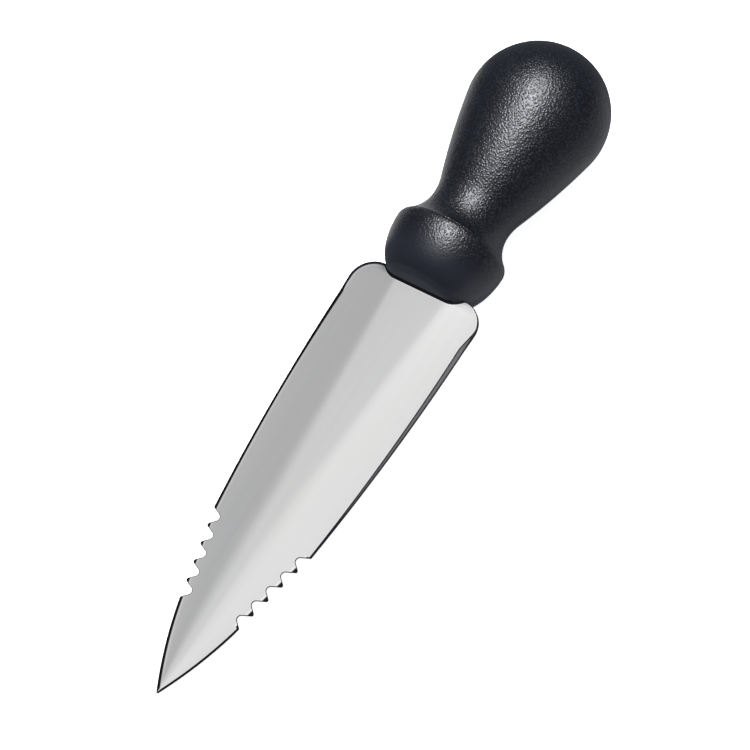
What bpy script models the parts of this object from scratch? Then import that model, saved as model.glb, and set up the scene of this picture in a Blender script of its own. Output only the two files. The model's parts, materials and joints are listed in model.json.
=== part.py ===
"""A serrated utility knife with a pear-shaped handle, lying on a flat surface.

The knife is drawn in its own axes: x runs from the handle to the point, y goes
across the blade and z through its thickness, with x = 0 at the front of the
handle's collar. Both sides of the blade and both of its edges are alike. An
empty then tips the finished knife until its collar and its point touch the
surface, with the middle of its bounding box over the origin. Lengths are in
metres.
"""
import math

import bmesh
import bpy
from mathutils import Matrix, Vector

# Blade
BLADE_LENGTH = 0.1400
BLADE_WIDTH = 0.0442
BLADE_THICKNESS = 0.0026
FLAT_WIDTH = 0.0186
SHOULDER_RADIUS = 0.0080
SHOULDER_SET = 0.0026
SWEEP_RADIUS = 0.665
POINT_RADIUS = 0.125
POINT_WIDTH = 0.0005
POINT_THICKNESS = 0.0012

# Cutting edge: a small bevel on both sides, wide at the heel and fine at the point
EDGE_THICKNESS = 0.00024
EDGE_ANGLE = math.radians(18)
HEEL_BEVEL = 0.0017
POINT_BEVEL = 0.00065
BEVEL_START = 0.0040
BEVEL_RUN = 0.0070
CORNER_EASE = 0.0001

# Teeth: notches cut along a straight line on each edge
NOTCHES = 5
NOTCHES_START = 0.0853
NOTCHES_LENGTH = 0.0281
NOTCHES_END_WIDTH = 0.0209
REAR_FLANK = math.radians(53)
FRONT_FLANK = math.radians(62)
CREST_RADIUS = 0.00065
ROOT_RADIUS = 0.0012

# Tang: the flat tail of the blade inside the handle, with two locking holes
TANG_LENGTH = 0.0620
TANG_WIDTH = 0.0140
TANG_THICKNESS = 0.0024
TANG_FILLET = 0.0030
TANG_END_RADIUS = 0.0035
TANG_HOLES = 2
TANG_HOLE_RADIUS = 0.0030
TANG_HOLE_PITCH = 0.0200
TANG_HOLE_END = 0.0100

# Handle: widths are across y, places are distances behind the collar's front. The
# bulb is almost as wide as the blade, and the whole handle is a little flattened.
GRIP_LENGTH = 0.0871
BULB_INSET = 0.00015
BULB_FLATTENING = 0.0021
TAPER_RADIUS = 0.214
NECK_RADIUS = 0.0166
NECK_WIDTH = 0.0258
NECK_PLACE = 0.0276
RIM_WIDTH = 0.0348
RIM_PLACE = 0.0181
COLLAR_WIDTH = 0.0364
COLLAR_PLACE = 0.0159
NOSE_WIDTH = 0.0181

# Core: the rigid inner part of the handle, moulded round the tang
GRIP_SKIN = 0.0030
CORE_FRONT = 0.0075
FIT_GAP = 0.0003

# Number of facets
GRIP_SEGMENTS = 64
CORE_SEGMENTS = 36
HOLE_SEGMENTS = 24
FULL_TURN = 2 * math.pi

# Cutters reach this far past the surfaces that they open
OVERRUN = 0.0030


def clear_scene():
    for obj in list(bpy.data.objects):
        bpy.data.objects.remove(obj, do_unlink=True)


def make_material(name, color, roughness, metallic):
    material = bpy.data.materials.new(name)
    material.use_nodes = True
    shader = material.node_tree.nodes["Principled BSDF"]
    shader.inputs["Base Color"].default_value = (*color, 1)
    shader.inputs["Roughness"].default_value = roughness
    shader.inputs["Metallic"].default_value = metallic
    return material


def make_object(name, bm, material=None):
    """Turn a bmesh into an object; without a material it is a hidden cutter."""
    bmesh.ops.remove_doubles(bm, verts=bm.verts, dist=0.000001)
    bmesh.ops.recalc_face_normals(bm, faces=bm.faces)
    mesh = bpy.data.meshes.new(name)
    bm.to_mesh(mesh)
    bm.free()
    obj = bpy.data.objects.new(name, mesh)
    bpy.context.scene.collection.objects.link(obj)
    if material:
        mesh.materials.append(material)
    else:
        obj.hide_render = True
        obj.display_type = "WIRE"
    return obj


def combine(obj, operation, tool):
    modifier = obj.modifiers.new(tool.name, "BOOLEAN")
    modifier.operation = operation
    modifier.solver = "EXACT"
    modifier.object = tool


def arc(center, radius, start, end, steps):
    """Points on a circle in the plane, from one angle to the other."""
    points = []
    for i in range(steps + 1):
        angle = start + (end - start) * i / steps
        points.append((center[0] + radius * math.cos(angle), center[1] + radius * math.sin(angle)))
    return points


def angle_from(center, point):
    return math.atan2(point[1] - center[1], point[0] - center[0])


def plate(outline, half_thickness):
    """A flat plate of the given outline, centred on the knife's mid-plane."""
    bm = bmesh.new()
    face = bm.faces.new([bm.verts.new((x, y, -half_thickness)) for x, y in outline])
    grown = bmesh.ops.extrude_face_region(bm, geom=[face])["geom"]
    top = [item for item in grown if isinstance(item, bmesh.types.BMVert)]
    bmesh.ops.translate(bm, verts=top, vec=(0, 0, 2 * half_thickness))
    return bm


def turned(profile, segments):
    """Spin a profile of (x, radius) points about x, then flatten it to the bulb's oval."""
    bm = bmesh.new()
    row = [bm.verts.new((x, radius, 0)) for x, radius in profile]
    edges = [bm.edges.new(pair) for pair in zip(row, row[1:])]
    bmesh.ops.spin(
        bm, geom=row + edges, cent=(0, 0, 0), axis=(1, 0, 0),
        angle=FULL_TURN, steps=segments, use_merge=True)
    bmesh.ops.scale(bm, vec=(1, 1, BULB_THICKNESS / BULB_WIDTH), verts=bm.verts)
    return bm


# Blade outline, one half

HALF_WIDTH = BLADE_WIDTH / 2
SHOULDER_CENTER = (SHOULDER_RADIUS - SHOULDER_SET, HALF_WIDTH - SHOULDER_RADIUS)
NOTCHES_END = NOTCHES_START + NOTCHES_LENGTH


def sweep_half_width(x):
    """The long curve from the shoulder to the first notch."""
    run = x - SHOULDER_CENTER[0]
    return HALF_WIDTH - SWEEP_RADIUS + math.sqrt(SWEEP_RADIUS ** 2 - run ** 2)


def circle_through(first, second, radius):
    """Centre of the circle through two points, on the side nearer the knife's axis."""
    middle = (Vector(first) + Vector(second)) / 2
    chord = Vector(second) - Vector(first)
    inward = Vector((chord.y, -chord.x)).normalized()
    return middle + inward * math.sqrt(radius ** 2 - (chord.length / 2) ** 2)


TEETH_REAR = Vector((NOTCHES_START, sweep_half_width(NOTCHES_START)))
TEETH_FRONT = Vector((NOTCHES_END, NOTCHES_END_WIDTH / 2))
POINT_CORNER = Vector((BLADE_LENGTH, POINT_WIDTH / 2))
POINT_CENTER = circle_through(TEETH_FRONT, POINT_CORNER, POINT_RADIUS)


def edge_stations():
    """Points (x, half width) along one edge, from the back of the shoulder to the point."""
    stations = arc(SHOULDER_CENTER, SHOULDER_RADIUS, math.pi, math.pi / 2, 10)
    steps = 14
    for i in range(1, steps + 1):
        x = SHOULDER_CENTER[0] + (NOTCHES_START - SHOULDER_CENTER[0]) * i / steps
        stations.append((x, sweep_half_width(x)))
    start = angle_from(POINT_CENTER, TEETH_FRONT)
    end = angle_from(POINT_CENTER, POINT_CORNER)
    return stations + arc(POINT_CENTER, POINT_RADIUS, start, end, 12)


def ramp(value, start, run):
    return min(1, max(0, (value - start) / run))


def section(x, half_width):
    """One ring of the blade: flat middle, ground faces, edge bevels and thin edges."""
    bevel_end = BEVEL_START + BEVEL_RUN
    fining = ramp(x, bevel_end, NOTCHES_START - bevel_end)
    full_bevel = HEEL_BEVEL + (POINT_BEVEL - HEEL_BEVEL) * fining
    full_bevel = min(full_bevel, 0.45 * half_width)
    bevel = CORNER_EASE + (full_bevel - CORNER_EASE) * ramp(x, BEVEL_START, BEVEL_RUN)
    drop = math.tan(EDGE_ANGLE)
    bevel_z = EDGE_THICKNESS / 2 + full_bevel * drop
    edge_z = bevel_z - bevel * drop
    bevel_y = half_width - bevel
    flat_y = min(FLAT_WIDTH / 2 * (1 - x / BLADE_LENGTH), bevel_y)
    flat_y = max(flat_y, bevel_y / 4)
    flat_z = (BLADE_THICKNESS + (POINT_THICKNESS - BLADE_THICKNESS) * x / BLADE_LENGTH) / 2
    upper = [(half_width, edge_z), (bevel_y, bevel_z), (flat_y, flat_z)]
    upper += [(-y, z) for y, z in reversed(upper)]
    lower = [(y, -z) for y, z in reversed(upper)]
    return [(x, y, z) for y, z in upper + lower]


def blade_body():
    bm = bmesh.new()
    rings = []
    for x, half_width in edge_stations():
        rings.append([bm.verts.new(point) for point in section(x, half_width)])
    for ring, following in zip(rings, rings[1:]):
        for i in range(len(ring)):
            j = (i + 1) % len(ring)
            bm.faces.new((ring[i], ring[j], following[j], following[i]))
    bm.faces.new(rings[0])
    bm.faces.new(rings[-1])
    bmesh.ops.triangulate(bm, faces=bm.faces)
    return bm


# Notches

def notch_line():
    """The toothed edge as (distance along, depth) pairs, made of arcs joined by flanks."""
    pitch = (TEETH_FRONT - TEETH_REAR).length / NOTCHES
    turn = math.tan(REAR_FLANK / 2) + math.tan(FRONT_FLANK / 2)
    slope = 1 / math.tan(REAR_FLANK) + 1 / math.tan(FRONT_FLANK)
    widest = 0.8 * pitch / turn
    shrink = min(1, widest / (CREST_RADIUS + ROOT_RADIUS))
    crest = CREST_RADIUS * shrink
    root = ROOT_RADIUS * shrink
    depth = (pitch - (crest + root) * turn) / slope
    rear_run = (depth - (crest + root) * (1 - math.cos(REAR_FLANK))) / math.tan(REAR_FLANK)
    root_shift = (crest + root) * math.sin(REAR_FLANK) + rear_run
    rear = math.pi / 2 + REAR_FLANK
    front = math.pi / 2 - FRONT_FLANK
    line = []
    for i in range(NOTCHES):
        line += arc((i * pitch + root_shift, depth - root), root, rear, front, 7)
        if i < NOTCHES - 1:
            line += arc(((i + 1) * pitch, crest), crest, front - math.pi, rear - math.pi, 5)
    first = Vector(line[0]) - OVERRUN * Vector((math.cos(REAR_FLANK), math.sin(REAR_FLANK))) * 2
    last = Vector(line[-1]) + OVERRUN * Vector((math.cos(FRONT_FLANK), -math.sin(FRONT_FLANK))) * 2
    return [first] + [Vector(point) for point in line] + [last]


def notch_cutter(side):
    along = (TEETH_FRONT - TEETH_REAR).normalized()
    inward = Vector((along.y, -along.x))
    outline = [TEETH_REAR + along * point.x + inward * point.y for point in notch_line()]
    outline += [outline[-1] - inward * OVERRUN, outline[0] - inward * OVERRUN]
    outline = [(point.x, side * point.y) for point in outline]
    return make_object(f"notch_cutter_{side}", plate(outline, BLADE_THICKNESS))


# Tang

TANG_END = SHOULDER_SET + TANG_LENGTH


def tang_outline(grow):
    """The tang's outline, made larger all round by grow for the pocket that holds it."""
    half = TANG_WIDTH / 2
    fillet_center = (-SHOULDER_SET - TANG_FILLET, half + TANG_FILLET)
    end_center = (-TANG_END + TANG_END_RADIUS, half - TANG_END_RADIUS)
    side = [(SHOULDER_SET, half + TANG_FILLET)]
    side += arc(fillet_center, TANG_FILLET - grow, 0, -math.pi / 2, 5)
    side += arc(end_center, TANG_END_RADIUS + grow, math.pi / 2, math.pi, 5)
    return side + [(x, -y) for x, y in reversed(side)]


def tang_pins(radius, half_length, name):
    """Round bars through the tang's holes, used to drill them and to fill them."""
    bm = bmesh.new()
    for i in range(TANG_HOLES):
        x = -TANG_END + TANG_HOLE_END + i * TANG_HOLE_PITCH
        bmesh.ops.create_cone(
            bm, cap_ends=True, segments=HOLE_SEGMENTS, radius1=radius, radius2=radius,
            depth=2 * half_length, matrix=Matrix.Translation((x, 0, 0)))
    return make_object(name, bm)


def make_blade():
    steel = make_material("polished_steel", (0.62, 0.62, 0.61), 0.24, 1.0)
    blade = make_object("blade", blade_body(), steel)
    combine(blade, "UNION", make_object("tang_plate", plate(tang_outline(0), TANG_THICKNESS / 2)))
    combine(blade, "DIFFERENCE", tang_pins(TANG_HOLE_RADIUS, TANG_THICKNESS, "tang_drill"))
    for side in (1, -1):
        combine(blade, "DIFFERENCE", notch_cutter(side))
    return blade


# Handle

BULB_WIDTH = BLADE_WIDTH - 2 * BULB_INSET
BULB_THICKNESS = BULB_WIDTH - BULB_FLATTENING
BULB_RADIUS = BULB_WIDTH / 2
BULB_CENTER = Vector((BULB_RADIUS - GRIP_LENGTH, 0))
NECK_CENTER = Vector((-NECK_PLACE, NECK_WIDTH / 2 + NECK_RADIUS))


def taper_center():
    """Centre of the long curve that touches the bulb from outside and the neck from inside."""
    to_bulb = TAPER_RADIUS - BULB_RADIUS
    to_neck = TAPER_RADIUS + NECK_RADIUS
    line = NECK_CENTER - BULB_CENTER
    along = (to_bulb ** 2 - to_neck ** 2 + line.length ** 2) / (2 * line.length)
    across = math.sqrt(to_bulb ** 2 - along ** 2)
    unit = line.normalized()
    return BULB_CENTER + unit * along + Vector((unit.y, -unit.x)) * across


TAPER_CENTER = taper_center()


def pear(inset, steps):
    """Bulb, taper and rear half of the neck, from the pole forward, moved inward by inset."""
    bulb_angle = angle_from(TAPER_CENTER, BULB_CENTER)
    neck_angle = angle_from(TAPER_CENTER, NECK_CENTER)
    points = arc(BULB_CENTER, BULB_RADIUS - inset, math.pi, bulb_angle, steps)
    points += arc(TAPER_CENTER, TAPER_RADIUS - inset, bulb_angle, neck_angle, 5)[1:]
    start = neck_angle - math.pi
    return points + arc(NECK_CENTER, NECK_RADIUS + inset, start, -math.pi / 2, 4)[1:]


def grip_profile():
    """The handle's outer profile, from the end of the bulb to the middle of the nose."""
    neck = Vector((-NECK_PLACE, NECK_WIDTH / 2))
    rim = Vector((-RIM_PLACE, RIM_WIDTH / 2))
    widest = Vector((-COLLAR_PLACE, COLLAR_WIDTH / 2))
    rise = rim - neck
    flare_radius = rise.length_squared / (2 * rise.y)
    flare_center = neck + Vector((0, flare_radius))
    profile = pear(0, 16)
    profile += arc(flare_center, flare_radius, -math.pi / 2, angle_from(flare_center, rim), 7)[1:]
    fall = widest - rim
    crown_radius = fall.length_squared / (2 * fall.y)
    crown_center = widest - Vector((0, crown_radius))
    profile += arc(crown_center, crown_radius, angle_from(crown_center, rim), math.pi / 2, 3)[1:]
    flat = NOSE_WIDTH / 2
    steps = 11
    for i in range(1, steps + 1):
        angle = math.pi / 2 * i / steps
        x = -COLLAR_PLACE * (1 - math.sin(angle))
        profile.append((x, flat + (widest.y - flat) * math.cos(angle)))
    return profile + [(0, 0)]


def core_profile(inset, front):
    profile = pear(inset, 10)
    neck = NECK_WIDTH / 2 - inset
    return profile + [(-front, neck), (-front, 0)]


def tang_pocket(name):
    return make_object(name, plate(tang_outline(FIT_GAP), TANG_THICKNESS / 2 + FIT_GAP))


def make_core():
    plastic = make_material("core_plastic", (0.09, 0.09, 0.10), 0.5, 0.0)
    profile = core_profile(GRIP_SKIN + FIT_GAP, CORE_FRONT)
    core = make_object("handle_core", turned(profile, CORE_SEGMENTS), plastic)
    combine(core, "DIFFERENCE", tang_pocket("core_pocket"))
    plugs = tang_pins(TANG_HOLE_RADIUS - FIT_GAP, TANG_THICKNESS, "core_plugs")
    combine(core, "UNION", plugs)
    return core


def blade_slot():
    """The slot across the nose that takes the back of the blade."""
    rear = -SHOULDER_SET - FIT_GAP
    side = HALF_WIDTH
    outline = [(rear, -side), (OVERRUN, -side), (OVERRUN, side), (rear, side)]
    return make_object("nose_slot", plate(outline, BLADE_THICKNESS / 2 + FIT_GAP))


def make_grip():
    black = make_material("grained_black_plastic", (0.022, 0.022, 0.027), 0.45, 0.0)
    grip = make_object("handle_grip", turned(grip_profile(), GRIP_SEGMENTS), black)
    cavity = core_profile(GRIP_SKIN, CORE_FRONT - FIT_GAP)
    combine(grip, "DIFFERENCE", make_object("grip_cavity", turned(cavity, CORE_SEGMENTS)))
    combine(grip, "DIFFERENCE", tang_pocket("grip_pocket"))
    combine(grip, "DIFFERENCE", blade_slot())
    return grip


# Placing the finished knife

def finished_points(obj):
    """The object's corners with its modifiers worked out, in the world."""
    graph = bpy.context.evaluated_depsgraph_get()
    shaped = obj.evaluated_get(graph)
    return [shaped.matrix_world @ vertex.co for vertex in shaped.to_mesh().vertices]


def lowest(points, tilt):
    return min(point.z * math.cos(tilt) - point.x * math.sin(tilt) for point in points)


def resting_tilt(blade, grip):
    """The tilt at which the blade's point and the handle are level with each other."""
    blade_points = finished_points(blade)
    grip_points = finished_points(grip)
    low, high = 0, math.pi / 4
    for _ in range(40):
        tilt = (low + high) / 2
        if lowest(grip_points, tilt) < lowest(blade_points, tilt):
            low = tilt
        else:
            high = tilt
    return tilt


def lay_down(blade, core, grip):
    """Tip the knife about y and put the middle of its bounding box over the origin."""
    knife = bpy.data.objects.new("knife", None)
    bpy.context.scene.collection.objects.link(knife)
    for obj in list(bpy.data.objects):
        if obj is not knife:
            obj.parent = knife
    knife.rotation_euler.y = resting_tilt(blade, grip)
    bpy.context.view_layer.update()
    points = finished_points(blade) + finished_points(grip)
    middle = [(min(p[i] for p in points) + max(p[i] for p in points)) / 2 for i in (0, 1)]
    knife.location = (-middle[0], -middle[1], -min(p.z for p in points))
    print("tilt in degrees", round(math.degrees(knife.rotation_euler.y), 3))
    print("place of the collar's front", [round(value, 5) for value in knife.location])


clear_scene()
lay_down(make_blade(), make_core(), make_grip())
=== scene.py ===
# %% [markdown]
# # A serrated utility knife with a pear-shaped handle
#
# The knife is a pointed, two-edged blade with five notches on each edge, set in a
# black grained handle: a round bulb for the palm, a narrow neck for two fingers, and
# a collar in front. This lesson dresses the measured model of the knife. It remakes
# the blade and the grip as fine meshes, gives every piece its finish, and lights the
# knife as a small studio would.
#
# Lengths are in metres. Each piece is drawn in the knife's own axes: x runs from the
# handle to the point, y goes across the blade and z through it, with x = 0 at the
# front of the collar. At the end a single matrix lays it down where the model lies.

# %% Load the measured model
import json
import math

import bmesh
import bpy
from mathutils import Matrix, Vector
from mathutils.kdtree import KDTree


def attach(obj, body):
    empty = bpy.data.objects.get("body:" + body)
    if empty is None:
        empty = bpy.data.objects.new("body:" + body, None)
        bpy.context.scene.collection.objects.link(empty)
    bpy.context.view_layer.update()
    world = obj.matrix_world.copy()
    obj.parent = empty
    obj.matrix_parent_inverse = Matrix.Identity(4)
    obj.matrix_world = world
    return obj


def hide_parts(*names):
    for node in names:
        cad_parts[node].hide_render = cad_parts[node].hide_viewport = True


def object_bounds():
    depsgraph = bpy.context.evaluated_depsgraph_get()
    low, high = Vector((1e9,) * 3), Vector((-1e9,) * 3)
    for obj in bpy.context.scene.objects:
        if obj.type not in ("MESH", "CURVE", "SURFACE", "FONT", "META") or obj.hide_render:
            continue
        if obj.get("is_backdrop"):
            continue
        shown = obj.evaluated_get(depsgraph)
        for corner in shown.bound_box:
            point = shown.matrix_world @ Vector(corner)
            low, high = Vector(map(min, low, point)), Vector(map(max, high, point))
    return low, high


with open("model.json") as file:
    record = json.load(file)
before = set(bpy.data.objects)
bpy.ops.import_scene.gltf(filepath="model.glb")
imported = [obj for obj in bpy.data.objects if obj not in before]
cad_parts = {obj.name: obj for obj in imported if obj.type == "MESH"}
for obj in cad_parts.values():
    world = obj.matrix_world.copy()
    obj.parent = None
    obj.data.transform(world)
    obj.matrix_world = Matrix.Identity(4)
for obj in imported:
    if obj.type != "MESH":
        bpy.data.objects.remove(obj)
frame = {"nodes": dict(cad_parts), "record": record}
cad_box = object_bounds()

# %% [markdown]
# ## How the knife lies
#
# The knife rests on its collar and its point, so its own axes are tipped a few
# degrees against the table. We could type that angle in, but the record already holds
# it: the mount on the collar's flat nose points along the knife, from a spot 5 mm
# above the knife's axis. Reading it there keeps this file true if the model is ever
# laid down another way.

# %% The matrix that lays the knife down
NOSE_MOUNT_HEIGHT = 0.005

nose_mount = next(m for m in frame["record"]["mounts"] if m["name"] == "nose_face")
along = Vector(nose_mount["axis"])
TILT = math.atan2(-along.z, along.x)
TIP_OVER = Matrix.Rotation(TILT, 4, "Y")
COLLAR_FRONT = Vector(nose_mount["pos_m"]) - TIP_OVER @ Vector((0, 0, NOSE_MOUNT_HEIGHT))
LAY = Matrix.Translation(COLLAR_FRONT) @ TIP_OVER
print("the knife is tipped by", round(math.degrees(TILT), 2), "degrees")

# %% [markdown]
# ## The camera
#
# The picture looks down on the knife from the side of its point, from a good way off,
# with a long lens, so the handle is hardly larger than the blade. A camera like that
# is easiest to write as an orbit: turn round the knife, climb above it, step back,
# and roll the frame. The four numbers are then things that one could do by hand.

# %% Camera
VIEW_AZIMUTH = math.radians(140.684)
VIEW_ELEVATION = math.radians(57.306)
VIEW_ROLL = math.radians(-19.345)
VIEW_DISTANCE = 0.900
VIEW_AIM = Vector((0.00231, 0.00213, 0.01189))
VIEW_LENS = 149.84


def make_camera():
    data = bpy.data.cameras.new("camera")
    data.lens = VIEW_LENS
    camera = bpy.data.objects.new("camera", data)
    bpy.context.scene.collection.objects.link(camera)
    turn = Matrix.Rotation(VIEW_AZIMUTH, 4, "Z")
    climb = Matrix.Rotation(math.pi / 2 - VIEW_ELEVATION, 4, "X")
    back = Matrix.Translation((0, 0, VIEW_DISTANCE))
    roll = Matrix.Rotation(VIEW_ROLL, 4, "Z")
    camera.matrix_world = Matrix.Translation(VIEW_AIM) @ turn @ climb @ back @ roll
    bpy.context.scene.camera = camera
    return camera


camera = make_camera()
print("camera at", [round(value, 3) for value in camera.matrix_world.translation])

# %% [markdown]
# ## Small tools for outlines
#
# Turned and pressed shapes are mostly arcs, so two helpers come first: one walks along
# an arc, the other finds the circle of a given radius through two points. Points here
# are (x, y) pairs in the knife's plane, or (x, radius) pairs for what is turned.


# %% Arcs
def arc(center, radius, start, end, steps):
    """Points on a circle, from one angle to the other, both ends included."""
    points = []
    for i in range(steps + 1):
        angle = start + (end - start) * i / steps
        points.append(Vector(center) + radius * Vector((math.cos(angle), math.sin(angle))))
    return points


def angle_from(center, point):
    return math.atan2(point[1] - center[1], point[0] - center[0])


def circle_through(first, second, radius):
    """Centre of the circle through two points, on the side nearer the knife's axis."""
    chord = second - first
    inward = Vector((chord.y, -chord.x)).normalized()
    return (first + second) / 2 + inward * math.sqrt(radius ** 2 - (chord.length / 2) ** 2)


# %% [markdown]
# ## The blade's outline
#
# The real blade is pressed from sheet: a rounded shoulder on each side of the collar,
# a long and nearly straight sweep, five notches, and then a curved edge to the point.
# Both edges are alike, so only one is worked out. Every point's x is larger than the
# last one's, and that is what lets a plain grid be stretched over the blade later.

# %% Sizes of the outline
BLADE_LENGTH = 0.1400
HALF_WIDTH = 0.0221
SHOULDER_RADIUS = 0.0080
SHOULDER_SET = 0.0026
SWEEP_RADIUS = 0.665
POINT_RADIUS = 0.125
POINT_HALF_WIDTH = 0.00025

NOTCHES = 5
NOTCHES_START = 0.0853
NOTCHES_LENGTH = 0.0281
NOTCHES_END_HALF = 0.01045
REAR_FLANK = math.radians(53)
FRONT_FLANK = math.radians(62)
CREST_RADIUS = 0.00065
ROOT_RADIUS = 0.0012

SHOULDER_CENTER = Vector((SHOULDER_RADIUS - SHOULDER_SET, HALF_WIDTH - SHOULDER_RADIUS))


def sweep_half_width(x):
    """The long curve from the shoulder to the first notch."""
    run = x - SHOULDER_CENTER.x
    return HALF_WIDTH - SWEEP_RADIUS + math.sqrt(SWEEP_RADIUS ** 2 - run ** 2)


TEETH_REAR = Vector((NOTCHES_START, sweep_half_width(NOTCHES_START)))
TEETH_FRONT = Vector((NOTCHES_START + NOTCHES_LENGTH, NOTCHES_END_HALF))
POINT_CORNER = Vector((BLADE_LENGTH, POINT_HALF_WIDTH))
POINT_CENTER = circle_through(TEETH_FRONT, POINT_CORNER, POINT_RADIUS)
print("half width at the first notch", round(TEETH_REAR.y * 1000, 2), "mm")

# %% [markdown]
# ## The notches
#
# Each notch is a round root between two straight flanks, and a small round crest joins
# it to the next. The flanks lean differently, the front one more steeply. Their lean
# and the two radii fix how deep a notch of a given length must be, so the depth is
# worked out and not chosen.

# %% The notches
ROOT_STEPS = 14
CREST_STEPS = 10


def notch_line():
    """The toothed edge as (distance along, depth) pairs: arcs joined by straight flanks."""
    pitch = (TEETH_FRONT - TEETH_REAR).length / NOTCHES
    bend = math.tan(REAR_FLANK / 2) + math.tan(FRONT_FLANK / 2)
    slope = 1 / math.tan(REAR_FLANK) + 1 / math.tan(FRONT_FLANK)
    radii = CREST_RADIUS + ROOT_RADIUS
    depth = (pitch - radii * bend) / slope
    rear_run = (depth - radii * (1 - math.cos(REAR_FLANK))) / math.tan(REAR_FLANK)
    root_shift = radii * math.sin(REAR_FLANK) + rear_run
    rear = math.pi / 2 + REAR_FLANK
    front = math.pi / 2 - FRONT_FLANK
    line = [Vector((CREST_RADIUS * math.tan(REAR_FLANK / 2), 0))]
    for i in range(NOTCHES):
        root_center = (i * pitch + root_shift, depth - ROOT_RADIUS)
        line += arc(root_center, ROOT_RADIUS, rear, front, ROOT_STEPS)
        if i < NOTCHES - 1:
            crest_center = ((i + 1) * pitch, CREST_RADIUS)
            line += arc(crest_center, CREST_RADIUS, front - math.pi, rear - math.pi, CREST_STEPS)
    line.append(Vector((NOTCHES * pitch - CREST_RADIUS * math.tan(FRONT_FLANK / 2), 0)))
    print("notch pitch", round(pitch * 1000, 2), "mm, depth", round(depth * 1000, 2), "mm")
    return line


def subdivided(points, longest):
    """The same line with its long runs cut into even steps."""
    finer = [points[0]]
    for start, end in zip(points, points[1:]):
        steps = max(1, math.ceil((end - start).length / longest))
        finer += [start.lerp(end, i / steps) for i in range(1, steps + 1)]
    return finer


def placed_notches():
    """The notch line laid along the blade's edge."""
    ahead = (TEETH_FRONT - TEETH_REAR).normalized()
    inward = Vector((ahead.y, -ahead.x))
    return [TEETH_REAR + ahead * p.x + inward * p.y for p in notch_line()]


# %% The whole edge
SHOULDER_STEPS = 24
SWEEP_STEP = 0.0011
FLANK_STEP = 0.00030
POINT_STEPS = 34

shoulder_edge = arc(SHOULDER_CENTER, SHOULDER_RADIUS, math.pi, math.pi / 2, SHOULDER_STEPS)
sweep_steps = math.ceil((NOTCHES_START - SHOULDER_CENTER.x) / SWEEP_STEP)
sweep_xs = [
    SHOULDER_CENTER.x + (NOTCHES_START - SHOULDER_CENTER.x) * i / sweep_steps
    for i in range(1, sweep_steps + 1)]
sweep_edge = [Vector((x, sweep_half_width(x))) for x in sweep_xs]
notch_edge = subdivided(placed_notches(), FLANK_STEP)
point_edge = arc(
    POINT_CENTER, POINT_RADIUS, angle_from(POINT_CENTER, TEETH_FRONT),
    angle_from(POINT_CENTER, POINT_CORNER), POINT_STEPS)
EDGE = shoulder_edge + sweep_edge + notch_edge + point_edge
print("points on one edge:", len(EDGE), "smallest step in x",
      round(min(b.x - a.x for a, b in zip(EDGE, EDGE[1:])) * 1e6), "microns")

# %% [markdown]
# ## The blade's thickness
#
# Across the blade there is a flat middle that tapers to the point, and on each side a
# face that is ground slightly hollow. Polishing has rounded the crease between the two,
# narrowly by the handle and widely near the point. A face leans by a few hundredths at
# most, so where it is narrow the flat lies a little lower. Along the very edge runs a
# small bevel, wide at the heel and fine at the point.
#
# The notches are ground from the back alone, as toothed edges mostly are: the upper
# face stays whole up to the tooth, and a slope on the back thins the steel there. All
# of this can be said as one height for each place on the blade, so one formula makes
# the whole surface.

# %% Lines along the blade
BLADE_THICKNESS = 0.0026
POINT_THICKNESS = 0.0012
FLAT_HALF = 0.0093
FLAT_LEAST = 0.25
EDGE_HALF_THICKNESS = 0.00012
EDGE_SLOPE = math.tan(math.radians(22))
HEEL_BEVEL = 0.00138
POINT_BEVEL = 0.00040
BEVEL_MOST = 0.45
BEVEL_START = 0.0040
BEVEL_RUN = 0.0070
CORNER_EASE = 0.0001
STEEPEST_AT_HANDLE = 0.058
STEEPEST_AT_POINT = 0.038


def clamp(value):
    return min(1.0, max(0.0, value))


def uncut_half_width(x):
    """The half width that the blade would have at x without its notches."""
    if x < SHOULDER_CENTER.x:
        run = SHOULDER_CENTER.x - x
        return SHOULDER_CENTER.y + math.sqrt(max(0, SHOULDER_RADIUS ** 2 - run ** 2))
    if x < TEETH_REAR.x:
        return sweep_half_width(x)
    if x < TEETH_FRONT.x:
        share = (x - TEETH_REAR.x) / (TEETH_FRONT.x - TEETH_REAR.x)
        return TEETH_REAR.y + (TEETH_FRONT.y - TEETH_REAR.y) * share
    run = x - POINT_CENTER.x
    return POINT_CENTER.y + math.sqrt(POINT_RADIUS ** 2 - run ** 2)


def bevel_widths(x, half):
    """Width of the bevel, which starts pointed at the shoulder, and its full width."""
    full_from = BEVEL_START + BEVEL_RUN
    fining = clamp((x - full_from) / (NOTCHES_START - full_from))
    full = min(HEEL_BEVEL + (POINT_BEVEL - HEEL_BEVEL) * fining, BEVEL_MOST * half)
    return CORNER_EASE + (full - CORNER_EASE) * clamp((x - BEVEL_START) / BEVEL_RUN), full


def lines_across(x):
    """At x: where the bevel starts and its height, where the flat ends and its height."""
    half = uncut_half_width(x)
    bevel, full = bevel_widths(x, half)
    bevel_y = half - bevel
    bevel_z = EDGE_HALF_THICKNESS + full * EDGE_SLOPE
    flat_y = max(min(FLAT_HALF * (1 - x / BLADE_LENGTH), bevel_y), bevel_y * FLAT_LEAST)
    flat_z = (BLADE_THICKNESS + (POINT_THICKNESS - BLADE_THICKNESS) * x / BLADE_LENGTH) / 2
    share = clamp(x / BLADE_LENGTH)
    steepest = STEEPEST_AT_HANDLE + (STEEPEST_AT_POINT - STEEPEST_AT_HANDLE) * share
    flat_z = min(flat_z, bevel_z + steepest * (bevel_y - flat_y))
    return bevel_y, bevel_z, flat_y, flat_z


halfway = lines_across(BLADE_LENGTH / 2)
print("halfway along, in mm: the flat ends at", round(halfway[2] * 1000, 2),
      "and the bevel starts at", round(halfway[0] * 1000, 2))

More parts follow.
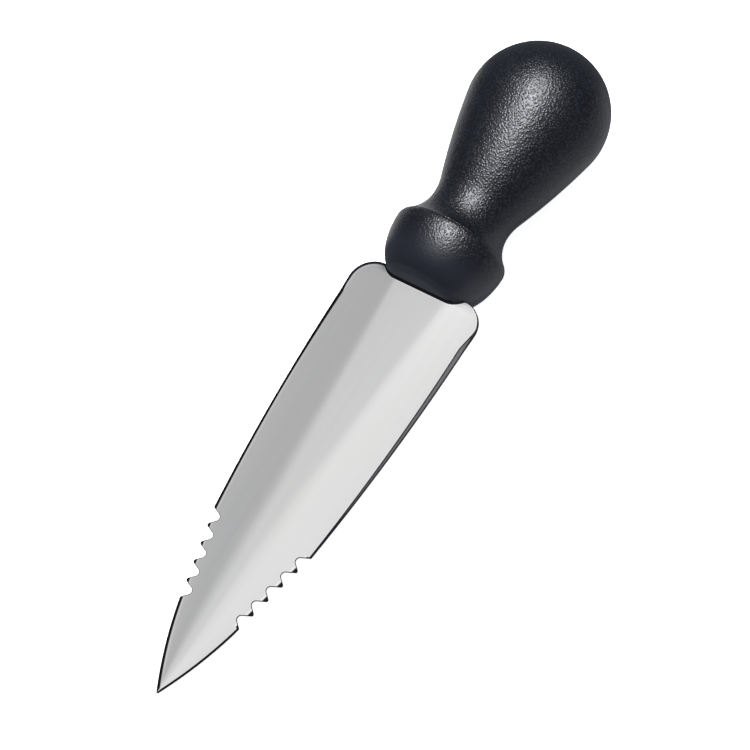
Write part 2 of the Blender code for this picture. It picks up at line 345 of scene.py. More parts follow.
# %% Heights on the blade
HOLLOW = 0.018
CREASE_AT_HANDLE = 0.0013
CREASE_AT_POINT = 0.0044
CREASE_ON_FLAT = 0.9
CREASE_ON_FACE = 0.5


def crease_width(x, flat_y, bevel_y):
    """Half the width over which the crease beside the flat is rounded."""
    share = clamp(x / BLADE_LENGTH)
    wide = CREASE_AT_HANDLE + (CREASE_AT_POINT - CREASE_AT_HANDLE) * share
    return min(wide, CREASE_ON_FLAT * flat_y, CREASE_ON_FACE * (bevel_y - flat_y))


def height(x, y):
    """Half the blade's thickness at a place on one side, before its notches are ground."""
    bevel_y, bevel_z, flat_y, flat_z = lines_across(x)
    if y > bevel_y:
        return bevel_z - (y - bevel_y) * EDGE_SLOPE
    soft = crease_width(x, flat_y, bevel_y)
    down = y - flat_y
    if down < soft:
        down = max(0, down + soft) ** 2 / (4 * soft)
    face = bevel_y - flat_y
    share = down / face
    return flat_z - (flat_z - bevel_z) * share - HOLLOW * face * share * (1 - share)


print("thickness at the collar", round(height(0, 0) * 2000, 2), "mm, at the point",
      round(height(BLADE_LENGTH, 0) * 2000, 2), "mm")

# %% [markdown]
# ## Stretching a grid over the blade
#
# The blade could be cut out of a plate with Booleans, but then its broad faces would
# be a few long triangles, and polished steel shows every uneven normal. Instead we
# start from an operator's plain grid, one column of it for each point of the edge, and
# move its rows: some share the flat, some the crease, some the ground face, some the
# bevel, and some crowd just inside the bevel, where a thin dark line will be drawn.
# In a notch the last rows close up, and merging doubles removes them. Mirroring across
# y and z makes the other three quarters, and a bridge closes the thin wall outside.

# %% The rows of the grid
FLAT_ROWS = 6
CREASE_ROWS = 8
FACE_ROWS = 12
RIM_ROWS = 9
RIM_WIDTH = 0.0013
BEVEL_ROWS = 4
ROW_COUNTS = (FLAT_ROWS, CREASE_ROWS, FACE_ROWS, RIM_ROWS, BEVEL_ROWS)
ROWS = sum(ROW_COUNTS)
GRID_HALF = 0.5


def row_place(x, edge_y, row):
    """How far out from the blade's middle a row of the grid lies."""
    bevel_y, _, flat_y, _ = lines_across(x)
    soft = crease_width(x, flat_y, bevel_y)
    face_end = min(bevel_y, edge_y)
    crease_start = min(flat_y - soft, face_end)
    crease_end = min(flat_y + soft, face_end)
    rim_start = max(crease_end, face_end - RIM_WIDTH)
    stops = [0, crease_start, crease_end, rim_start, face_end, edge_y]
    for start, end, count in zip(stops, stops[1:], ROW_COUNTS):
        if row <= count:
            return start + (end - start) * row / count
        row -= count
    return edge_y


def shape_blade_quarter(bm):
    columns = len(EDGE) - 1
    bmesh.ops.create_grid(bm, x_segments=columns, y_segments=ROWS, size=GRID_HALF)
    for vert in bm.verts:
        x, edge_y = EDGE[round((vert.co.x + GRID_HALF) * columns)]
        y = row_place(x, edge_y, round((vert.co.y + GRID_HALF) * ROWS))
        vert.co = (x, y, height(x, y))


# %% [markdown]
# ## Grinding the notches
#
# The back of the blade slopes down to each notch, so the grinding needs to know how
# far a place is from the toothed line. A search tree over closely set points of a line
# answers that quickly. The plain part of the edge gets a tree too, for the dark line
# that comes later.

# %% Grinding the notches from the back
SEARCH_STEP = 0.00003
TOOTH_THICKNESS = 0.00026
TOOTH_SLOPE = math.tan(math.radians(33))
TOOTH_REACH = 0.0035


def distance_from(line):
    """Make a function that says how far a place is from a line."""
    points = subdivided(line, SEARCH_STEP)
    tree = KDTree(len(points))
    for i, point in enumerate(points):
        tree.insert((point.x, point.y, 0), i)
    tree.balance()
    return lambda x, y: tree.find((x, y, 0))[2]


from_notches = distance_from(notch_edge)
from_plain_edge = distance_from(shoulder_edge + sweep_edge + point_edge)


def grind_back(bm):
    """Thin the blade towards its notches, from the back only."""
    for vert in bm.verts:
        x, y, z = vert.co
        if z > 0 or not TEETH_REAR.x - TOOTH_REACH < x < TEETH_FRONT.x + TOOTH_REACH:
            continue
        if abs(y) > uncut_half_width(x) - 2 * TOOTH_REACH:
            gap = from_notches(x, abs(y))
            vert.co.z = max(z, -z - TOOTH_THICKNESS - gap * TOOTH_SLOPE)


# %% [markdown]
# ## The tang
#
# Behind the collar the same sheet of steel runs on as a flat tang, with two holes that
# lock it in the handle. It is part of the blade, so it isn't made as a piece of its
# own: the faces in the middle of the blade's back edge are extruded into the handle,
# and the corners of the far end are rounded.

# %% Tang
TANG_HALF = 0.0070
TANG_LENGTH = 0.0620
TANG_HALF_THICKNESS = 0.0012
TANG_END_RADIUS = 0.0035
TANG_HOLE_RADIUS = 0.0030
TANG_HOLES_FROM_END = (0.0100, 0.0300)
FACING_BACK = -0.99


def draw_out_tang(bm):
    """Extrude the middle of the blade's back edge into the handle."""
    back = [
        face for face in bm.faces
        if face.normal.x < FACING_BACK and abs(face.calc_center_median().y) < TANG_HALF]
    grown = bmesh.ops.extrude_face_region(bm, geom=back)["geom"]
    bmesh.ops.delete(bm, geom=back, context="FACES_ONLY")
    end = [item for item in grown if isinstance(item, bmesh.types.BMVert)]
    half = max(vert.co.y for vert in end)
    for vert in end:
        past = max(0, abs(vert.co.y) - (half - TANG_END_RADIUS))
        rounding = TANG_END_RADIUS - math.sqrt(max(0, TANG_END_RADIUS ** 2 - past ** 2))
        vert.co.x -= TANG_LENGTH - rounding
        vert.co.z = math.copysign(TANG_HALF_THICKNESS, vert.co.z)
    print("tang drawn out from", len(back), "faces, half width", round(half * 1000, 2), "mm")


# %% [markdown]
# ## Finishing a piece
#
# Every piece ends in the same way: its doubles are merged, its faces are turned
# outwards, the matrix lays it down, and its mesh gets smooth faces with sharp folds.
# The object itself stays at the origin, so a pattern that is fixed to the object is
# fixed to the knife.

# %% Finishing
MERGE = 0.000002


def make_piece(name, bm, materials):
    bmesh.ops.remove_doubles(bm, verts=bm.verts, dist=MERGE)
    bmesh.ops.dissolve_degenerate(bm, edges=bm.edges, dist=MERGE)
    bmesh.ops.recalc_face_normals(bm, faces=bm.faces)
    bmesh.ops.transform(bm, matrix=LAY, verts=bm.verts)
    mesh = bpy.data.meshes.new(name)
    bm.to_mesh(mesh)
    bm.free()
    for material in materials:
        mesh.materials.append(material)
    piece = bpy.data.objects.new(name, mesh)
    bpy.context.scene.collection.objects.link(piece)
    return piece


def smooth(piece, fold):
    piece.data.shade_smooth()
    piece.data.set_sharp_from_angle(angle=fold)


def cut(piece, cutters):
    """Cut shapes out of a piece for good, and put the cutters away."""
    for cutter in cutters:
        modifier = piece.modifiers.new(cutter.name, "BOOLEAN")
        modifier.operation = "DIFFERENCE"
        modifier.solver = "EXACT"
        modifier.object = cutter
    graph = bpy.context.evaluated_depsgraph_get()
    shaped = bpy.data.meshes.new_from_object(piece.evaluated_get(graph))
    piece.modifiers.clear()
    piece.data = shaped
    for cutter in cutters:
        bpy.data.objects.remove(cutter, do_unlink=True)


def report_mesh(piece):
    """Print the size of a mesh, and how many edges are open or shared by too many faces."""
    bm = bmesh.new()
    bm.from_mesh(piece.data)
    odd = sum(1 for edge in bm.edges if len(edge.link_faces) != 2)
    volume = bm.calc_volume(signed=True) * 1e6
    print(piece.name, len(bm.faces), "faces,", odd, "odd edges,", round(volume, 2), "cm3")
    bm.free()


# %% [markdown]
# ## Sums with sockets
#
# A finish is a sum of patterns. Wiring Math nodes by hand hides the sum, so one small
# class wraps an output socket and lets Python's own signs add the Math nodes: a
# pattern can then be written as 0.4 + 0.2 * streaks. A second class keeps a material's
# nodes together and makes any other node from its type, its settings and its inputs.
# The Mix node repeats the names of its sockets for each kind of data, so those for
# colours are reached by their numbers.


# %% Sockets
class Wire:
    """An output socket that can be added, subtracted and multiplied."""

    def __init__(self, finish, socket):
        self.finish = finish
        self.socket = socket

    def _math(self, operation, first, second):
        return self.finish.node("ShaderNodeMath", {"operation": operation}, {0: first, 1: second})

    def __add__(self, other):
        return self._math("ADD", self, other)

    __radd__ = __add__

    def __sub__(self, other):
        return self._math("SUBTRACT", self, other)

    def __rsub__(self, other):
        return self._math("SUBTRACT", other, self)

    def __mul__(self, other):
        return self._math("MULTIPLY", self, other)

    __rmul__ = __mul__


# %% Finishes
MIX_SHARE, MIX_FIRST, MIX_SECOND, MIX_RESULT = 0, 6, 7, 2


class Finish:
    """A material and the nodes that make its pattern."""

    def __init__(self, name):
        self.material = bpy.data.materials.new(name)
        self.material.use_nodes = True
        self.tree = self.material.node_tree
        self.shader = self.tree.nodes["Principled BSDF"]

    def node(self, kind, settings, inputs, output=0):
        made = self.tree.nodes.new(kind)
        for name, value in settings.items():
            setattr(made, name, value)
        for key, value in inputs.items():
            self.put(made.inputs[key], value)
        return Wire(self, made.outputs[output])

    def put(self, socket, value):
        if isinstance(value, Wire):
            self.tree.links.new(value.socket, socket)
        else:
            socket.default_value = value

    def set(self, **values):
        """Set the shader's inputs, named in lower case with underscores."""
        for name, value in values.items():
            label = name.replace("_", " ").title().replace("Ior", "IOR")
            self.put(self.shader.inputs[label], value)

    def place(self, scale=(1, 1, 1)):
        """Coordinates in the knife's own axes, stretched by a scale."""
        spot = self.node("ShaderNodeTexCoord", {}, {}, "Object")
        turned = self.node(
            "ShaderNodeMapping", {"vector_type": "TEXTURE"},
            {"Vector": spot, "Location": COLLAR_FRONT, "Rotation": (0, TILT, 0)})
        return self.node("ShaderNodeMapping", {}, {"Vector": turned, "Scale": scale})

    def noise(self, place, scale=1.0, detail=2.0):
        return self.node(
            "ShaderNodeTexNoise", {}, {"Vector": place, "Scale": scale, "Detail": detail})

    def ease(self, value, low, high, start=0.0, end=1.0):
        """A smooth step of a value from one range to another."""
        return self.node(
            "ShaderNodeMapRange", {"interpolation_type": "SMOOTHSTEP"},
            {"Value": value, "From Min": low, "From Max": high, "To Min": start, "To Max": end})

    def mix(self, share, first, second):
        """A blend of two colours, each given as numbers or as another blend."""
        ends = [end if isinstance(end, Wire) else (*end, 1) for end in (first, second)]
        return self.node(
            "ShaderNodeMix", {"data_type": "RGBA"},
            {MIX_SHARE: share, MIX_FIRST: ends[0], MIX_SECOND: ends[1]}, MIX_RESULT)

    def bump(self, height_wire, distance):
        return self.node(
            "ShaderNodeBump", {}, {"Height": height_wire, "Distance": distance, "Strength": 1.0})


# %% [markdown]
# ## Polished steel
#
# The faces are polished with fine belts that run from the handle to the point, so the
# steel carries very long, very fine lines, and broad soft bands where the belt pressed
# harder. Both are noise that is stretched along the knife. The lines go into a faint
# bump and into the roughness, and the bands into the roughness and the tone, which
# also wanders slowly between a cooler and a warmer grey.
#
# A thin dark line of painted shade runs along the outline and under the collar, where
# the edges and the gap fall dark, and just inside it a painted highlight glints. Both
# have to follow every notch, so the mesh carries an attribute for them, called rim:
# each vertex knows how far it is from these lines in millimetres. The line fades out
# between two such distances, and the glint between two others.

# %% The painted shade line
RIM_DARK = 0.46
RIM_CLEAR = 0.60
# painted shade: this dark tone stands in for the shade on the edges and in the gap under the
# collar
PAINTED_SHADE_TONE = (0.013, 0.013, 0.015)
RIM_ROUGHNESS = 0.5


def rim_distance(steel):
    """How far the surface is from the nearest painted shade line, in millimetres."""
    return steel.node("ShaderNodeAttribute", {"attribute_name": "rim"}, {}, "Fac")


def rimmed(steel, color, roughness, bump_from, bump_depth):
    """Set a steel's look, with the painted shade line beside the outline."""
    # the painted shade line is mixed over the steel's own tone, with a rougher finish
    unshaded = steel.ease(rim_distance(steel), RIM_DARK, RIM_CLEAR)
    steel.set(
        base_color=steel.mix(unshaded, PAINTED_SHADE_TONE, color),
        metallic=1.0,
        roughness=RIM_ROUGHNESS + (roughness - RIM_ROUGHNESS) * unshaded,
        normal=steel.bump(bump_from, bump_depth))
    return steel.material


# %% The polished faces
LINE_STRETCH = (9, 2600, 700)
BAND_STRETCH = (7, 420, 120)
WARMTH_STRETCH = (22, 60, 60)
WARMTH_RANGE = (0.35, 0.65)
COOL_TONES = ((0.578, 0.571, 0.563), (0.606, 0.599, 0.591))
WARM_TONES = ((0.579, 0.570, 0.558), (0.607, 0.598, 0.586))
# painted highlight: a thin bright band just inside the painted shade line
PAINTED_GLINT_TONE = (0.698, 0.690, 0.682)
GLINT_FROM = 0.66
GLINT_TO = 0.95
LINE_DEPTH = 0.0000003


def polished_steel():
    steel = Finish("polished_steel")
    lines = steel.noise(steel.place(LINE_STRETCH), detail=3.0)
    bands = steel.noise(steel.place(BAND_STRETCH))
    warmth = steel.ease(steel.noise(steel.place(WARMTH_STRETCH), detail=1.0), *WARMTH_RANGE)
    tone = steel.mix(warmth, steel.mix(bands, *COOL_TONES), steel.mix(bands, *WARM_TONES))
    # the painted highlight is mixed over the steel's own tone
    past_glint = steel.ease(rim_distance(steel), GLINT_FROM, GLINT_TO)
    tone = steel.mix(past_glint, PAINTED_GLINT_TONE, tone)
    return rimmed(steel, tone, 0.09 + 0.03 * lines + 0.015 * bands, lines, LINE_DEPTH)


# %% The bevel
GRIND_STRETCH = (5200, 260, 260)
# painted shade: the very dark tone stands in for the dark room that the bevel mirrors; the grind
# lines are real
PAINTED_DARK_GRIND_TONES = ((0.064, 0.063, 0.062), (0.092, 0.090, 0.088))
GRIND_DEPTH = 0.000002


def ground_steel():
    """The bevel is coarser, with lines across the edge, and its dark tone is painted shade."""
    steel = Finish("ground_steel")
    lines = steel.noise(steel.place(GRIND_STRETCH))
    tone = steel.mix(lines, *PAINTED_DARK_GRIND_TONES)
    return rimmed(steel, tone, 0.50 + 0.10 * lines, lines, GRIND_DEPTH)


# %% [markdown]
# ## Where the painted shade lines lie
#
# The dark lines are painted shade, where the edges and the gap under the collar fall
# dark. They differ in width: they are fine in the notches and along the right edge,
# and wide along the left edge and on the crests between the notches. One attribute can
# say all this, because a distance may be multiplied by a share before it is stored. A
# share above 1 thins the line, and one below 1 widens it. Where the right bevel starts
# there is a line too, a little finer on the bevel than on the face, and one more runs
# in front of the collar's rounded nose, as a painted shadow of the gap there.

# %% The rim attribute
NOTCH_SHARE = 2.6
LEFT_SHARES = (0.55, 0.60)
RIGHT_SHARES = (1.70, 0.42)
BEVEL_SHARE_INSIDE = 2.4
BEVEL_SHARE_OUTSIDE = 3.5
RIM_FARTHEST = 0.0012
RIM_REACH = 0.008
COLLAR_HALF = 0.0182
COLLAR_PLACE = 0.0159
NOSE_HALF = 0.00905
COLLAR_SHADE = -0.0001


def collar_front_at(y):
    """Where along the knife the collar's rounded nose ends, y away from the axis."""
    out = clamp((y - NOSE_HALF) / (COLLAR_HALF - NOSE_HALF))
    return -COLLAR_PLACE * (1 - math.sqrt(1 - out ** 2))


def from_side_lines(x, side_y):
    """Distance from one edge's painted shade lines, each counted with its own share."""
    plain_share, crest_share = LEFT_SHARES if side_y < 0 else RIGHT_SHARES
    y = abs(side_y)
    nearest = from_plain_edge(x, y) * plain_share
    if TEETH_REAR.x < x < TEETH_FRONT.x:
        nearest = min(nearest, (uncut_half_width(x) - y) * crest_share)
    elif side_y > 0 and x > BEVEL_START:
        past_line = y - lines_across(x)[0]
        line_share = BEVEL_SHARE_OUTSIDE if past_line > 0 else BEVEL_SHARE_INSIDE
        nearest = min(nearest, abs(past_line) * line_share)
    return min(nearest, from_notches(x, y) * NOTCH_SHARE)


def mark_rim(bm):
    """Store how far each vertex is from the painted shade lines, in millimetres."""
    layer = bm.verts.layers.float.new("rim")
    for vert in bm.verts:
        x, y = vert.co.x, abs(vert.co.y)
        # painted shadow in front of the collar's nose, which also darkens the hidden tang
        far = min(x - collar_front_at(y) + COLLAR_SHADE, RIM_FARTHEST)
        if x > -SHOULDER_SET - MERGE and y > uncut_half_width(x) - RIM_REACH:
            far = min(far, from_side_lines(x, vert.co.y))
        vert[layer] = far * 1000


# %% [markdown]
# ## Making the blade
#
# Now the grid, the mirrors, the bridge and the tang come together. The bevel is told
# apart from the faces by its place, and gets the second material. The two locking
# holes of the tang are cut last, where the handle hides them. The blade is also left
# out of reflections, so that the black plastic shows no image of it.

# %% Blade
BLADE_FOLD = math.radians(9)
DRILL_SIDES = 32


def drill(x, radius, length):
    """A round bar through the knife's plane, used to cut a hole."""
    bm = bmesh.new()
    bmesh.ops.create_cone(
        bm, cap_ends=True, segments=DRILL_SIDES, radius1=radius, radius2=radius, depth=length,
        matrix=Matrix.Translation((x, 0, 0)))
    return make_piece("drill", bm, [])


def mark_bevels(bm):
    """Give the strip between the faces and the outline its own material."""
    for face in bm.faces:
        middle = face.calc_center_median()
        if middle.x > 0:
            face.material_index = int(abs(middle.y) > lines_across(middle.x)[0])


def mirrored(bm, axis, merge_dist):
    everything = bm.verts[:] + bm.edges[:] + bm.faces[:]
    bmesh.ops.mirror(bm, geom=everything, axis=axis, merge_dist=merge_dist)


def make_blade():
    bm = bmesh.new()
    shape_blade_quarter(bm)
    bmesh.ops.remove_doubles(bm, verts=bm.verts, dist=MERGE)
    mirrored(bm, "Y", MERGE)
    bmesh.ops.remove_doubles(bm, verts=bm.verts, dist=MERGE)
    mirrored(bm, "Z", 0)
    grind_back(bm)
    outline = [edge for edge in bm.edges if edge.is_boundary]
    bmesh.ops.bridge_loops(bm, edges=outline)
    bmesh.ops.recalc_face_normals(bm, faces=bm.faces)
    bm.normal_update()
    draw_out_tang(bm)
    mark_bevels(bm)
    mark_rim(bm)
    blade = make_piece("blade_steel", bm, [polished_steel(), ground_steel()])
    tang_end = -SHOULDER_SET - TANG_LENGTH
    through = 4 * BLADE_THICKNESS
    cut(blade, [drill(tang_end + x, TANG_HOLE_RADIUS, through) for x in TANG_HOLES_FROM_END])
    smooth(blade, BLADE_FOLD)
    blade.visible_glossy = False
    report_mesh(blade)
    return blade


blade = make_blade()

# %% [markdown]
# ## The grip's profile
#
# The handle is turned: seen from the side it is a ball, a long taper, a neck, a flare
# that rises to the collar, and the collar's rounded nose. Drawn as arcs that touch one
# another, the profile has no dents. Where the flare meets the collar the mould leaves
# a fine groove, and the collar's edge in front of it is slightly rounded.

# %% The pear
GRIP_LENGTH = 0.0871
BULB_RADIUS = 0.02195
TAPER_RADIUS = 0.214
NECK_RADIUS = 0.0166
NECK_HALF = 0.0129
NECK_PLACE = 0.0276

BULB_CENTER = Vector((BULB_RADIUS - GRIP_LENGTH, 0))
NECK_CENTER = Vector((-NECK_PLACE, NECK_HALF + NECK_RADIUS))


def taper_center():
    """Centre of the long curve that touches the bulb from outside and the neck from inside."""
    to_bulb = TAPER_RADIUS - BULB_RADIUS
    to_neck = TAPER_RADIUS + NECK_RADIUS
    line = NECK_CENTER - BULB_CENTER
    along_line = (to_bulb ** 2 - to_neck ** 2 + line.length ** 2) / (2 * line.length)
    across = math.sqrt(to_bulb ** 2 - along_line ** 2)
    unit = line.normalized()
    return BULB_CENTER + unit * along_line + Vector((unit.y, -unit.x)) * across


TAPER_CENTER = taper_center()


def pear(inset, bulb_steps, taper_steps, neck_steps):
    """Bulb, taper and rear half of the neck, from the pole forward, moved inward by inset."""
    bulb_angle = angle_from(TAPER_CENTER, BULB_CENTER)
    neck_angle = angle_from(TAPER_CENTER, NECK_CENTER)
    points = arc(BULB_CENTER, BULB_RADIUS - inset, math.pi, bulb_angle, bulb_steps)
    points += arc(TAPER_CENTER, TAPER_RADIUS - inset, bulb_angle, neck_angle, taper_steps)[1:]
    start = neck_angle - math.pi
    return points + arc(NECK_CENTER, NECK_RADIUS + inset, start, -math.pi / 2, neck_steps)[1:]


print("the taper's centre is", round(-TAPER_CENTER.y * 1000, 1), "mm beyond the axis")

# %% Flare, groove and collar
RIM_HALF = 0.0174
RIM_PLACE = 0.0181
GROOVE_WIDTH = 0.00034
GROOVE_DEPTH = 0.00030
GROOVE_LEAN = 0.7
PEAR_STEPS = (56, 26, 14)
FLARE_STEPS = 26
CROWN_STEPS = 12
NOSE_STEPS = 34


def outer_profile():
    neck = Vector((-NECK_PLACE, NECK_HALF))
    rim = Vector((-RIM_PLACE, RIM_HALF))
    widest = Vector((-COLLAR_PLACE, COLLAR_HALF))
    rise = rim - neck
    flare_radius = rise.length_squared / (2 * rise.y)
    flare_center = neck + Vector((0, flare_radius))
    flare_end = angle_from(flare_center, rim) - GROOVE_WIDTH / 2 / flare_radius
    profile = pear(0, *PEAR_STEPS)
    profile += arc(flare_center, flare_radius, -math.pi / 2, flare_end, FLARE_STEPS)[1:]
    profile.append(rim + Vector((GROOVE_DEPTH, -GROOVE_DEPTH)) * GROOVE_LEAN)
    fall = widest - rim
    crown_radius = fall.length_squared / (2 * fall.y)
    crown_center = widest - Vector((0, crown_radius))
    crown_start = angle_from(crown_center, rim) - GROOVE_WIDTH / 2 / crown_radius
    profile += arc(crown_center, crown_radius, crown_start, math.pi / 2, CROWN_STEPS)
    for i in range(1, NOSE_STEPS + 1):
        angle = math.pi / 2 * i / NOSE_STEPS
        x = -COLLAR_PLACE * (1 - math.sin(angle))
        profile.append(Vector((x, NOSE_HALF + (COLLAR_HALF - NOSE_HALF) * math.cos(angle))))
    return profile + [Vector((0, 0))]


# %% [markdown]
# ## Grained plastic
#
# The mould of the grip is etched, and leaves pebbles of about 0.7 mm that break the
# light into fine sparks. They could be raised in the mesh, but there are thousands of
# them, so they are a bump: soft Voronoi cells for the pebbles, and a noise over them so
# that no two are alike. The same grain goes into the colour, with painted shade that
# makes its valleys darker. It fades towards the collar's nose, which is smoother. The
# nose, and the collar's flat front still more, are lighter with painted light that
# stands in for the bright blade they face.

# %% The grip's finish
PEBBLE_SCALE = 1500
PEBBLE_BLEND = 0.4
PEBBLE_REACH = 0.7
PEBBLE_SHARE = 0.85
WAVE_SCALE = 1200
WAVE_SHARE = 0.55
NOSE_SMOOTHING = 0.8
GRAIN_RANGE = (0.40, 0.90)
GRAIN_DEPTH = 0.00010
NOSE_FADE = (-0.0150, -0.0050)
FRONT_FADE = (-0.0016, -0.0004)
# painted shade: the dark tone of the grain's valleys
PAINTED_VALLEY_SHADE_TONE = (0.0006, 0.0010, 0.0022)
PEBBLE_TONE = (0.0060, 0.0078, 0.0135)
# painted light: the nose and the flat front are lighter, standing in for the bright blade they
# face
NOSE_PAINTED_LIGHT_TONE = (0.0080, 0.0095, 0.0165)
FRONT_PAINTED_LIGHT_TONE = (0.0190, 0.0215, 0.0330)


def grip_plastic():
    plastic = Finish("grained_black_plastic")
    place = plastic.place()
    along_knife = plastic.node("ShaderNodeSeparateXYZ", {}, {"Vector": place})
    nose = plastic.ease(along_knife, *NOSE_FADE)
    front = plastic.ease(along_knife, *FRONT_FADE)
    cells = plastic.node(
        "ShaderNodeTexVoronoi", {"feature": "SMOOTH_F1"},
        {"Vector": place, "Scale": PEBBLE_SCALE, "Smoothness": PEBBLE_BLEND})
    pebbles = plastic.ease(cells, 0.0, PEBBLE_REACH, 1.0, 0.0)
    waves = plastic.noise(place, WAVE_SCALE)
    grain = (PEBBLE_SHARE * pebbles + WAVE_SHARE * waves) * (1 - NOSE_SMOOTHING * nose)
    # painted shade darkens the grain's valleys
    tone = plastic.mix(plastic.ease(grain, *GRAIN_RANGE), PAINTED_VALLEY_SHADE_TONE, PEBBLE_TONE)
    # painted light lightens the nose, and the flat front still more
    tone = plastic.mix(nose, tone, NOSE_PAINTED_LIGHT_TONE)
    plastic.set(
        base_color=plastic.mix(front, tone, FRONT_PAINTED_LIGHT_TONE),
        roughness=0.32 + 0.06 * waves,
        ior=1.53,
        normal=plastic.bump(grain, GRAIN_DEPTH))
    return plastic.material


# %% [markdown]
# ## Turning the grip and opening it
#
# Spinning the profile makes the skin, and squeezing it a little gives the oval that
# the hand feels. The grip is a skin over a rigid core, so a smaller pear is cut out of
# it, and then a pocket for the tang and a flat slot across the nose that lets the
# blade's back edge in. A shallow, taller cut round the slot's mouth draws the dark line
# between collar and steel. The grip is left out of reflections too, so that the
# polished steel shows no image of the collar.


# %% Turning and cutting
OVAL = 0.0418 / 0.0439


def turned(profile, steps):
    bm = bmesh.new()
    row = [bm.verts.new((x, radius, 0)) for x, radius in profile]
    edges = [bm.edges.new(pair) for pair in zip(row, row[1:])]
    bmesh.ops.spin(
        bm, geom=row + edges, cent=(0, 0, 0), axis=(1, 0, 0), angle=2 * math.pi, steps=steps,
        use_merge=True)
    bmesh.ops.scale(bm, vec=(1, 1, OVAL), verts=bm.verts)
    return bm


def slot_cutter(rear, front, half_width, half_height):
    """A box round the knife's axis, used to cut a slot."""
    low = Vector((rear, -half_width, -half_height))
    high = Vector((front, half_width, half_height))
    bm = bmesh.new()
    bmesh.ops.create_cube(bm, size=1)
    bmesh.ops.scale(bm, vec=high - low, verts=bm.verts)
    bmesh.ops.translate(bm, vec=(high + low) / 2, verts=bm.verts)
    return make_piece("slot", bm, [])


# %% Grip
GRIP_TURN_STEPS = 224
GRIP_FOLD = math.radians(30)
GRIP_SKIN = 0.0030
CORE_FRONT = 0.0075
CAVITY_STEPS = (24, 10, 8)
CAVITY_TURN_STEPS = 72
FIT_GAP = 0.0003
MOUTH_DEPTH = 0.0008
MOUTH_LIP = 0.0009
MOUTH_HALF = NOSE_HALF * 1.5


def make_cavity(front):
    profile = pear(GRIP_SKIN, *CAVITY_STEPS)
    profile += [Vector((-front, NECK_HALF - GRIP_SKIN)), Vector((-front, 0))]
    return make_piece("cavity", turned(profile, CAVITY_TURN_STEPS), [])


def make_grip():
    grip = make_piece("grip_skin", turned(outer_profile(), GRIP_TURN_STEPS), [grip_plastic()])
    cavity_front = CORE_FRONT - FIT_GAP
    slot_rear = -SHOULDER_SET - FIT_GAP
    slot_half = BLADE_THICKNESS / 2 + FIT_GAP
    outside = FIT_GAP * 4
    cavity = make_cavity(cavity_front)
    pocket = slot_cutter(
        -2 * cavity_front, slot_rear / 2, TANG_HALF + FIT_GAP, TANG_HALF_THICKNESS + FIT_GAP)
    slot = slot_cutter(slot_rear, outside, HALF_WIDTH, slot_half)
    mouth = slot_cutter(-MOUTH_DEPTH, outside, MOUTH_HALF, slot_half + MOUTH_LIP)
    cut(grip, [cavity, pocket, slot, mouth])
    smooth(grip, GRIP_FOLD)
    grip.visible_glossy = False
    report_mesh(grip)
    return grip


grip = make_grip()

# %% [markdown]
# ## The core
#
# The core is hidden, and the measured model of it is already right, so it stays as it
# is and only gets the look of moulded plastic.

# %% Core
FLOW_STRETCH = (60, 240, 240)
CORE_TONES = ((0.080, 0.080, 0.088), (0.100, 0.100, 0.110))
FLOW_DEPTH = 0.00002


def core_plastic():
    plastic = Finish("moulded_core_plastic")
    flow = plastic.noise(plastic.place(FLOW_STRETCH))
    plastic.set(
        base_color=plastic.mix(flow, *CORE_TONES),
        roughness=0.45 + 0.10 * flow,
        normal=plastic.bump(flow, FLOW_DEPTH))
    return plastic.material


core = frame["nodes"]["handle_core"]
core.data.materials.clear()
core.data.materials.append(core_plastic())
print("the core keeps its", len(core.data.polygons), "triangles")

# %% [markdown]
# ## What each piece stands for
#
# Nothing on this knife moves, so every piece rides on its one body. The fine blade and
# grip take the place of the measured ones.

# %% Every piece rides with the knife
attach(blade, "root")
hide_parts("blade")
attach(grip, "root")
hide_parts("handle_grip")

# %% [markdown]
# ## The table
#
# The knife lies on a plain white table, which glows so that it stays white and the
# shadows on it stay faint. The table is left out of all reflections, because the black
# plastic would mirror it as a broad white rim.

# %% Table
FLOOR_SIZE = 4.0
FLOOR_DROP = 0.0001
FLOOR_GRAIN = 30
FLOOR_TONES = ((0.940, 0.940, 0.940), (0.955, 0.955, 0.955))
FLOOR_GLOW = 0.9


def make_floor():
    bm = bmesh.new()
    bmesh.ops.create_grid(bm, x_segments=1, y_segments=1, size=FLOOR_SIZE / 2)
    bmesh.ops.translate(bm, vec=(0, 0, -FLOOR_DROP), verts=bm.verts)
    mesh = bpy.data.meshes.new("floor")
    bm.to_mesh(mesh)
    bm.free()
    paper = Finish("white_table")
    paper.set(
        base_color=paper.mix(paper.noise(paper.place(), FLOOR_GRAIN), *FLOOR_TONES),
        roughness=0.9,
        emission_color=(1, 1, 1, 1),
        emission_strength=FLOOR_GLOW)
    mesh.materials.append(paper.material)
    floor = bpy.data.objects.new("floor", mesh)
    bpy.context.scene.collection.objects.link(floor)
    floor.visible_glossy = False
    floor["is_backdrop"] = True
    return floor


floor = make_floor()
print(floor.name, "is", FLOOR_SIZE, "m wide")

# %% [markdown]
# ## The lights
#
# Steel shows what it mirrors, so the blade's tones are made by large lights far above
# it, nested like the rings of a target. They add up to a bright middle, and each ring
# is a step darker. The right face looks almost straight up into the middle, the flat
# a little beside it, and the left face past the inner rings, which makes three tones.
#
# Two small lights near the knife draw the long highlight on the handle. The sheen at
# the edges of the real handle comes from the white table. Two low lights that face
# upward give it here, so its width and strength can be chosen for each side.

# %% A soft light
HANDLE_AIM = Vector((-0.068, 0.0, 0.020))


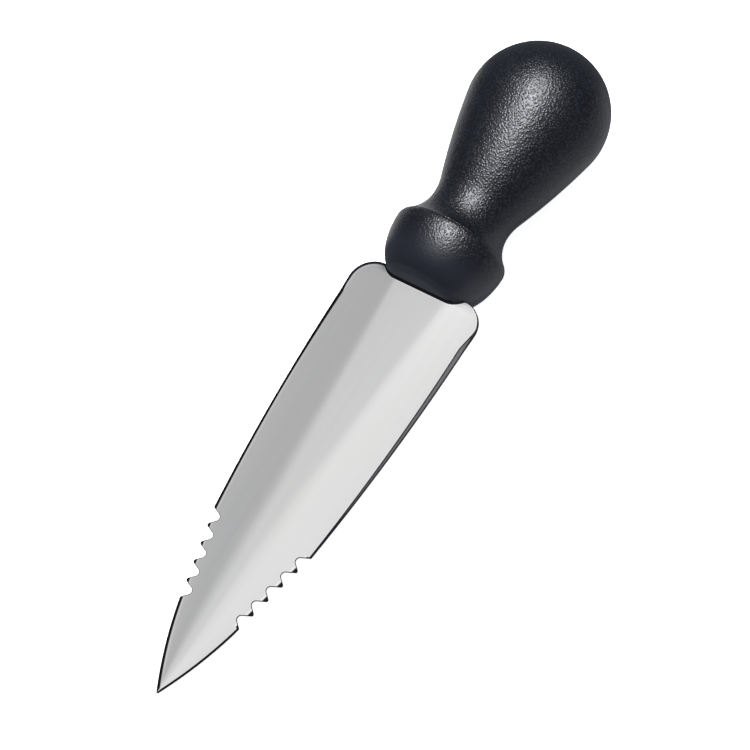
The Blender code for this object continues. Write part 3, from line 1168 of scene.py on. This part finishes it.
def softbox(name, place, aim, width, length, radiance, color=(1, 1, 1), shape="ELLIPSE"):
    """A soft light; its radiance is how bright a mirror on the knife would show it."""
    data = bpy.data.lights.new(name, "AREA")
    data.shape = shape
    data.size = width
    data.size_y = length
    data.color = color
    area = width * length * (math.pi / 4 if shape == "ELLIPSE" else 1)
    data.energy = radiance * math.pi * area
    light = bpy.data.objects.new(name, data)
    bpy.context.scene.collection.objects.link(light)
    light.location = place
    light.rotation_mode = "QUATERNION"
    light.rotation_quaternion = (Vector(place) - aim).to_track_quat("Z", "Y")
    light.visible_camera = False
    return light


# %% Lights near the knife
KEY_COLOR = (0.93, 0.95, 1.0)
BOUNCE_X = -0.078
BOUNCE_HEIGHT = 0.002
BOUNCES = (("right bounce", 0.085, 0.17, 0.13, 0.32), ("left bounce", -0.057, 0.08, 0.07, 0.78))

softbox(
    "key", (-0.072, 0.0075, 0.25), HANDLE_AIM, width=0.104, length=0.048, radiance=41.0,
    color=KEY_COLOR, shape="RECTANGLE")
softbox("side", (-0.178, 0.006, 0.25), HANDLE_AIM, width=0.060, length=0.060, radiance=24.0)
for name, y, width, length, radiance in BOUNCES:
    place = Vector((BOUNCE_X, y, BOUNCE_HEIGHT))
    softbox(name, place, place + Vector((0, 0, 1)), width, length, radiance, shape="RECTANGLE")

# %% Lights far above the blade
RINGS = (
    ("inner", 4.10, 3.2, 0.08), ("middle", 4.20, 3.7, 0.16), ("outer", 4.30, 4.5, 0.16),
    ("edge", 4.35, 4.9, 0.17), ("ceiling", 4.40, 6.8, 0.54))

for name, up, across, radiance in RINGS:
    softbox(name, (0.0, 0.0, up), VIEW_AIM, across, across, radiance)

# %% The room
ROOM_COLOR = (0.160, 0.173, 0.192, 1)

world = bpy.data.worlds.new("studio")
world.use_nodes = True
world.node_tree.nodes["Background"].inputs["Color"].default_value = ROOM_COLOR
bpy.context.scene.world = world
bpy.context.scene.view_settings.view_transform = "Standard"

# %% Print the boxes, and finish
visual_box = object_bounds()
boxes = {"cad": [list(corner) for corner in cad_box]}
boxes["visual"] = [list(corner) for corner in visual_box]
for name, box in boxes.items():
    print(name, [[round(value * 1000, 2) for value in corner] for corner in box])
